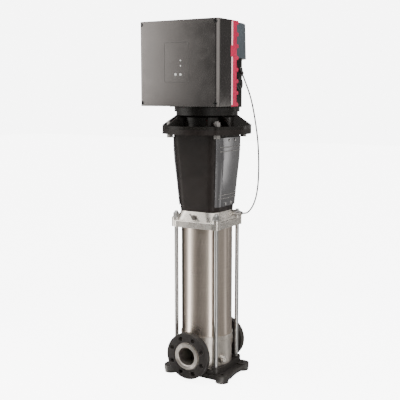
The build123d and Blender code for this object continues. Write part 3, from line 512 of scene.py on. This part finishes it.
# Castings and fittings with rounded edges
edge_widths = {
    "base_plate": 0.0025, "pump_casing": 0.0012, "suction_flange": 0.0012,
    "discharge_flange": 0.0012, "drain_plug": 0.0008, "pump_head": 0.0022,
    "stay_bolt_nuts": 0.0009, "vent_body": 0.0005, "vent_lever": 0.0006, "sensor_body": 0.0006,
    "motor_stool": 0.002, "motor_flange_bolts": 0.0009, "drive_end_shield": 0.0016,
    "motor_housing": 0.001, "fan_cowl": 0.0008, "heat_sink": 0.0012, "control_housing": 0.0012,
    "control_cover": 0.0003, "cable_gland": 0.0005, "cooling_fan": 0.0006,
    "coupling_halves": 0.001,
}
for eased_node, eased_width in edge_widths.items():
    eased = eased_mesh(eased_node, eased_width)
    add_piece(eased_node + "_eased", eased, finish[eased_node], eased_node)


# Stay bolts: plain shanks with a cut thread at the top
thread_pitch = 0.002
thread_depth = 0.0009
thread_length = 0.034
thread_chamfer = 0.0016
bolt_sides = 40


def thread_profile(radius, low, high):
    rows = []
    height = low
    while height + thread_pitch < high:
        rows += [(radius, height), (radius - thread_depth, height + thread_pitch / 2)]
        height += thread_pitch
    return rows


def add_stay_bolts():
    work = bmesh.new()
    for low, high in loose_parts("stay_bolts"):
        radius = (high.x - low.x) / 2
        tall = high.z - low.z
        profile = [(0, 0), (radius, 0), (radius, tall - thread_length)]
        profile += thread_profile(radius, tall - thread_length, tall - thread_chamfer)
        profile += [(radius - thread_chamfer, tall), (0, tall)]
        foot = ((low.x + high.x) / 2, (low.y + high.y) / 2, low.z)
        turned_onto(work, profile, bolt_sides, foot)
    mesh = mesh_from(work, "stay_bolts_cut")
    add_piece("stay_bolts_cut", mesh, "fastener_steel", "stay_bolts", smooth=25)


add_stay_bolts()


# Port faces: a turned face with fine grooves on each port
groove_step = 0.0012
groove_depth = 0.00025
face_proud = 0.0002
face_sunk = 0.0004
face_inner = 0.0385
face_outer = 0.0518
face_sides = 96


def add_port_faces():
    _, port_height = middle_of(*reach("suction_flange"))
    port_reach = reach("pump_casing")[1].y
    profile = [(face_outer, -face_sunk), (face_outer, face_proud)]
    radius = face_outer
    while radius - groove_step > face_inner:
        profile.append((radius - groove_step / 2, face_proud))
        profile.append((radius - groove_step, face_proud - groove_depth))
        radius -= groove_step
    profile += [(face_inner, face_proud), (face_inner, -face_sunk)]
    work = bmesh.new()
    for side in (-1, 1):
        turned_onto(work, profile, face_sides, (0, side * port_reach, port_height), (0, side, 0))
    mesh = mesh_from(work, "port_faces")
    add_piece("port_faces", mesh, "ring_steel", "pump_casing", smooth=20, body="frame")


add_port_faces()


# Blanking plug: stepped disc with two rings and a hub, in a seat of the motor's side
plug_sides = 72
plug_seat = (0.0195, 0.004)  # radius and depth
plug_foot = (0.0008, 0.001)  # in from the rim and height of the rounded foot
plug_steps = (  # in from the rim, share of the height
    (0, 0.35), (0.0012, 0.5), (0.0045, 0.52), (0.0055, 0.42), (0.009, 0.42), (0.0102, 0.66),
    (0.0125, 0.72),
)
plug_hub = (  # radius, share of the height
    (0.0085, 0.74), (0.0075, 0.64), (0.0062, 0.66), (0.0055, 0.94), (0.0042, 1), (0, 1),
)


def add_plug():
    low, high = reach("blanking_plug")
    face = reach("motor_housing")[1].x
    radius = (high.y - low.y) / 2
    tall = high.x - face
    seat_radius, seat_depth = plug_seat
    foot_inset, foot_height = plug_foot
    profile = [(0, -seat_depth), (seat_radius, -seat_depth), (seat_radius, 0)]
    profile += [(radius - foot_inset, 0), (radius, foot_height)]
    profile += [(radius - inset, share * tall) for inset, share in plug_steps]
    profile += [(hub_radius, share * tall) for hub_radius, share in plug_hub]
    work = bmesh.new()
    place = (face, (high.y + low.y) / 2, (high.z + low.z) / 2)
    turned_onto(work, profile, plug_sides, place, (1, 0, 0))
    mesh = mesh_from(work, "plug_turned")
    add_piece("plug_turned", mesh, "entry_black", "blanking_plug", smooth=28)


add_plug()


# Heat sink: rails along both sides, each broken by a lug, in a pale pink that is a painted
# highlight along the sink's edges.
# Y and Z of rails and lugs are measured from the sink's low corner.
trim_sunk = 0.001
rail_y = (0.0005, 0.0125)
rail_proud = 0.0014
rail_rounding = 0.0009
rail_end_gap = 0.005
lug_z = (0.182, 0.222)
lug_y = (-0.0055, 0.0255)
lug_proud = 0.0036
lug_rounding = 0.0015


def trim_onto(work, side, proud, y_span, z_low, z_high):
    """Adds a block that stands out of one side of the sink; side is 1 for +X and -1 for -X."""
    low, high = reach("heat_sink")
    x_low, x_high = sorted((side * (high.x - trim_sunk), side * (high.x + proud)))
    box_onto(work, (x_low, low.y + y_span[0], z_low), (x_high, low.y + y_span[1], z_high))


def add_sink_trim():
    low, high = reach("heat_sink")
    lug_low, lug_high = (low.z + height for height in lug_z)
    rails = bmesh.new()
    lugs = bmesh.new()
    for side in (-1, 1):
        trim_onto(rails, side, rail_proud, rail_y, low.z + rail_end_gap, lug_low)
        trim_onto(rails, side, rail_proud, rail_y, lug_high, high.z - rail_end_gap)
        trim_onto(lugs, side, lug_proud, lug_y, lug_low, lug_high)
    trims = (
        # The rails carry the pale painted highlight; the lugs keep the sink's red
        ("sink_rails", rails, "sink_painted_highlight", rail_rounding),
        ("sink_lugs", lugs, "sink_red", lug_rounding),
    )
    for name, work, material, rounding in trims:
        round_edges(work, work.edges[:], rounding)
        mesh = mesh_from(work, name)
        add_piece(name, mesh, material, "heat_sink", smooth=50, body="frame")


add_sink_trim()


# Coupling guards: bowed sheets with pressed beads across, two near the top and two near the bottom;
# the beads are painted in paler steel than the sheet, a painted highlight along them
guard_bow = 0.005
guard_cuts = 14
guard_low, guard_high = reach("guard_right")
guard_half = guard_high.y
guard_widths = {"guard_right": 0.0004, "guard_left": 0.0004, "guard_screws": 0.0006}
bead_heights = (
    guard_high.z - 0.036, guard_high.z - 0.052, guard_low.z + 0.047, guard_low.z + 0.033,
)
bead_radius = 0.002
bead_sunk = 0.3 * bead_radius
bead_end = 0.012
bead_step = 0.004
bead_rounding = 4
straight = 1e-9  # a hull point whose triangle is smaller lies on a straight edge


def cut_across(work, place, normal, **options):
    bmesh.ops.bisect_plane(
        work, geom=work.verts[:] + work.edges[:] + work.faces[:], plane_co=place,
        plane_no=normal, **options,
    )


def bowed(x, y):
    """How far a point of a guard stands out of the flat sheet."""
    return math.copysign(guard_bow * max(0, 1 - (y / guard_half) ** 2), x)


def add_bowed(node, width):
    work = bmesh.new()
    work.from_mesh(eased_mesh(node, width))
    for cut in range(1, guard_cuts):
        cut_across(work, (0, guard_half * (2 * cut / guard_cuts - 1), 0), (0, 1, 0))
    for vertex in work.verts:
        vertex.co.x += bowed(vertex.co.x, vertex.co.y)
    add_piece(node + "_bowed", mesh_from(work, node + "_bowed"), finish[node], node)


def turn_of(first, second, third):
    """Twice the area of a triangle, positive when it runs anticlockwise."""
    along, up = second[0] - first[0], second[1] - first[1]
    return along * (third[1] - first[1]) - up * (third[0] - first[0])


def hull_of(points):
    """The convex hull of points in a plane, anticlockwise."""
    hull = []
    for run in (points, points[::-1]):
        start = len(hull)
        for point in run:
            while len(hull) >= start + 2 and turn_of(hull[-2], hull[-1], point) <= straight:
                hull.pop()
            hull.append(point)
        hull.pop()
    return hull


def section_hull(node, height):
    """The outer line of a node cut level at a height, seen from above."""
    work = node_work(node)
    cut_across(work, (0, 0, height), (0, 0, 1), clear_inner=True, clear_outer=True)
    points = {(round(vertex.co.x, 6), round(vertex.co.y, 6)) for vertex in work.verts}
    work.free()
    return hull_of(sorted(points))


def bead_line(node, side, height):
    """Points along a guard's outer face from end to end, close enough for the bow."""
    hull = section_hull(node, height)
    widest = max(abs(y) for _, y in hull) - bead_end
    corners = sorted((y, x) for x, y in hull if abs(y) < widest)
    line = corners[:1]
    for before, after in zip(corners, corners[1:]):
        steps = max(1, round((after[0] - before[0]) / bead_step))
        for step in range(1, steps + 1):
            line.append(tuple(a + step / steps * (b - a) for a, b in zip(before, after)))
    return [(x + bowed(x, y) - side * bead_sunk, y, height) for y, x in line]


def add_guard_beads(node, side):
    for number, height in enumerate(bead_heights):
        line = bead_line(node, side, height)
        bead = add_bar(f"{node}_bead_{number}", line, bead_radius, bead_rounding)
        # The paler fastener steel on the beads is a painted highlight along the pressed beads of
        # the darker guard sheet
        paint(bead, "fastener_steel")
        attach(bead, "frame")


for bowed_node, bowed_width in guard_widths.items():
    add_bowed(bowed_node, bowed_width)
add_guard_beads("guard_right", 1)
add_guard_beads("guard_left", -1)


# Panel: two lamps over the right button, a line around the film and an arrow on each button
lamp_radius = 0.0026
lamp_height = 0.0002
lamp_sides = 32
lamps_over_button = (0.031, 0.051)
line_corner = 0.004
line_radius = 0.0009
line_rounding = 2
line_turn = 15  # degrees from point to point at the corners
arrow_half = 0.0026
arrow_height = 0.00004
arrow_sunk = 0.0001
arrow_foot = 0.7 * arrow_half


def add_lamps():
    front = reach("panel_overlay")[0].y
    x, button_z = middle_of(*reach("button_down"))
    profile = [
        (lamp_radius, -lamp_height), (lamp_radius, lamp_height / 2),
        (lamp_radius * 0.8, lamp_height), (0, lamp_height),
    ]
    work = bmesh.new()
    for over in lamps_over_button:
        turned_onto(work, profile, lamp_sides, (x, front, button_z + over), (0, -1, 0))
    mesh = mesh_from(work, "panel_lamps")
    add_piece("panel_lamps", mesh, "mark_pale", "panel_overlay", smooth=40, body="frame")


def add_panel_line():
    """A dark line around the film where it meets the cover, no further out than the buttons."""
    low, high = reach("panel_overlay")
    inner_low = low.x + line_corner, low.z + line_corner
    inner_high = high.x - line_corner, high.z - line_corner
    corners = (
        (inner_high[0], inner_high[1], 0), (inner_low[0], inner_high[1], 90),
        (inner_low[0], inner_low[1], 180), (inner_high[0], inner_low[1], 270),
    )
    route = []
    for x, z, start in corners:
        for degrees in range(start, start + 90 + line_turn, line_turn):
            turn = math.radians(degrees)
            route.append((
                x + line_corner * math.cos(turn), cad_low.y + line_radius,
                z + line_corner * math.sin(turn),
            ))
    line = add_bar("panel_line", route, line_radius, line_rounding, caps=False, closed=True)
    paint(line, "entry_black")
    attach(line, "frame")


def add_arrow(node, up):
    low, high = reach(node)
    x, z = middle_of(low, high)
    points = [(-arrow_half, -up * arrow_foot), (arrow_half, -up * arrow_foot), (0, up * arrow_half)]
    work = bmesh.new()
    front = [work.verts.new((x + dx, low.y - arrow_height, z + dz)) for dx, dz in points]
    back = [work.verts.new((x + dx, low.y + arrow_sunk, z + dz)) for dx, dz in points]
    work.faces.new(front)
    work.faces.new(back)
    for index in range(3):
        after = (index + 1) % 3
        work.faces.new((front[index], front[after], back[after], back[index]))
    bmesh.ops.recalc_face_normals(work, faces=work.faces)
    mesh = mesh_from(work, node + "_arrow")
    add_piece(node + "_arrow", mesh, "mark_pale", node, body=node)


# Cover screws: deep dished heads that fill their wells
screw_sides = 32
shank_radius = 0.003
head_profile = (  # radius, depth behind the box's front
    (shank_radius, 0.008), (0.0068, 0.008), (0.0068, 0.0022), (0.0058, 0.0014), (0.0034, 0.0014),
    (0.003, 0.005), (0, 0.005),
)


def add_cover_screws():
    work = bmesh.new()
    for low, high in loose_parts("cover_screws"):
        x, z = middle_of(low, high)
        tall = high.y - cad_low.y
        profile = [(0, 0), (shank_radius, 0)]
        profile += [(radius, tall - depth) for radius, depth in head_profile]
        turned_onto(work, profile, screw_sides, (x, high.y, z), (0, -1, 0))
    mesh = mesh_from(work, "cover_screws_turned")
    add_piece("cover_screws_turned", mesh, "entry_black", "cover_screws")


add_lamps()
add_panel_line()
add_cover_screws()
add_arrow("button_up", 1)
add_arrow("button_down", -1)


# Studio: a ring of soft panels in three tiers that only reflections see, floor, sky and lights.
# Stops are degrees around the pump, from +X towards +Y, and levels of light.
white = (1, 1, 1, 1)
panel_colour = (1, 0.97, 0.93)
floor_colour = (0.92, 0.92, 0.92)
floor_half = 14
floor_glow = 0.15
seen_glow = 7
sky_light = 0.55
ring_radius = 1.5
ring_steps = 96
low_stops = (
    (-180, 0.02), (-172, 0.05), (-160, 0.11), (-152, 0.3), (-147, 1.0), (-141, 1.0), (-134, 0.22),
    (-120, 0.055), (-98, 0.035), (-64, 0.04), (-50, 0.12), (-46, 1.0), (-41, 1.0), (-37, 0.05),
    (-20, 0.085), (-8, 0.045), (22, 0.06), (28, 0.17), (34, 0.17), (40, 0.05), (62, 0.05),
    (80, 0.04), (115, 0.04), (140, 0.015), (160, 0.006), (180, 0.006),
)
middle_stops = (
    (-180, 0.03), (-150, 0.3), (-134, 0.2), (-120, 0.05), (-98, 0.03), (-52, 0.05), (-44, 0.3),
    (-36, 0.07), (46, 0.06), (50, 0.48), (52, 0.48), (56, 0.065), (110, 0.12), (140, 0.1),
    (180, 0.03),
)
high_stops = (
    (-180, 0.08), (-150, 0.7), (-128, 0.75), (-122, 0.34), (-114, 0.07), (-104, 0.025),
    (-76, 0.03), (-58, 0.36), (0, 0.36), (22, 0.18), (38, 0.04), (56, 0.035), (68, 0.05),
    (110, 0.14), (140, 0.14), (180, 0.08),
)
low_strength = 7
ring_tiers = (  # name, low and high edge, stops, strength
    ("low", 0.002, 0.48, low_stops, low_strength),
    ("middle", 0.48, 1.06, middle_stops, 5),
    ("high", 1.06, 3, high_stops, 5),
)
lights = (  # name, place, target, size, power, seen in reflections
    ("overhead", (0.2, -0.9, 3.2), (0, 0, 0.6), (1.8, 1.8), 90, True),
    ("right_fill", (2.9, -0.5, 1.7), (0, 0, 1.2), (0.8, 1.6), 38, False),
)


def azimuth_glow(nodes, place, stops, strength):
    """A glow that changes with the direction from the pump."""
    split = nodes.add("ShaderNodeSeparateXYZ")
    turn = nodes.add("ShaderNodeMath", operation="ARCTAN2")
    spread = nodes.add("ShaderNodeMapRange", {"From Min": -math.pi, "From Max": math.pi})
    ramp = nodes.add("ShaderNodeValToRGB")
    glow = nodes.add("ShaderNodeEmission", {"Strength": strength})
    levels = [((degrees + 180) / 360, tint(panel_colour, level)) for degrees, level in stops]
    set_ramp(ramp, levels)
    nodes.join(place, split.inputs[0])
    nodes.join(split.outputs["Y"], turn.inputs[0])
    nodes.join(split.outputs["X"], turn.inputs[1])
    nodes.join(turn.outputs[0], spread.inputs["Value"])
    nodes.join(spread.outputs["Result"], ramp.inputs["Fac"])
    nodes.join(ramp.outputs["Color"], glow.inputs["Color"])
    return glow.outputs[0]


def add_studio_ring(tier, low_edge, high_edge, stops, strength):
    work = bmesh.new()
    edges = ((ring_radius, low_edge), (ring_radius, high_edge))
    turned_onto(work, edges, ring_steps, (0, 0, 0))
    ring = placed("studio_ring_" + tier, mesh_from(work, "studio_ring_" + tier))
    material = bpy.data.materials.new("studio_panels_" + tier)
    material.use_nodes = True
    nodes = Nodes(material.node_tree)
    nodes.tree.nodes.remove(nodes.tree.nodes["Principled BSDF"])
    place = nodes.add("ShaderNodeTexCoord").outputs["Object"]
    nodes.show(azimuth_glow(nodes, place, stops, strength))
    ring.data.materials.append(material)
    ring.visible_camera = False
    ring.visible_shadow = False


def add_floor():
    """A pale floor; in mirror-like surfaces it carries the low panels on, as a table would."""
    mesh = bpy.data.meshes.new("floor")
    signs = ((-1, -1), (1, -1), (1, 1), (-1, 1))
    mesh.from_pydata([(x * floor_half, y * floor_half, 0) for x, y in signs], [], [(0, 1, 2, 3)])
    floor = placed("floor", mesh)
    maker = Maker("floor_white", floor_colour, 0.7)
    maker.roughness(maker.between(maker.noise(3, detail=2), 0.65, 0.8))
    path = maker.add("ShaderNodeLightPath")
    dim = maker.add("ShaderNodeEmission", {"Strength": floor_glow})
    bright = maker.add("ShaderNodeEmission", {"Strength": seen_glow})
    own = maker.mixed(path.outputs["Is Camera Ray"], dim.outputs[0], bright.outputs[0])
    lit = maker.add("ShaderNodeAddShader")
    maker.join(maker.shader.outputs[0], lit.inputs[0])
    maker.join(own, lit.inputs[1])
    carried = azimuth_glow(maker, maker.place, low_stops, low_strength)
    maker.show(maker.mixed(path.outputs["Is Glossy Ray"], lit.outputs[0], carried))
    paint(floor, "floor_white")


def add_world():
    world = bpy.data.worlds.new("studio")
    world.use_nodes = True
    scene.world = world
    nodes = Nodes(world.node_tree)
    sky = nodes.tree.nodes["Background"]
    sky.inputs["Color"].default_value = white
    sky.inputs["Strength"].default_value = sky_light
    seen = nodes.add("ShaderNodeBackground", {"Color": white, "Strength": seen_glow})
    path = nodes.add("ShaderNodeLightPath")
    surface = nodes.mixed(path.outputs["Is Camera Ray"], sky.outputs[0], seen.outputs[0])
    nodes.show(surface, "World Output")


def add_light(name, place, target, size, power, glossy):
    data = bpy.data.lights.new(name, "AREA")
    data.shape = "RECTANGLE"
    data.size, data.size_y = size
    data.energy = power
    light = placed(name, data)
    light.location = place
    light.rotation_euler = (Vector(target) - Vector(place)).to_track_quat("-Z", "Y").to_euler()
    light.visible_camera = False
    light.visible_glossy = glossy


add_floor()
add_world()
for ring_tier in ring_tiers:
    add_studio_ring(*ring_tier)
for light_row in lights:
    add_light(*light_row)
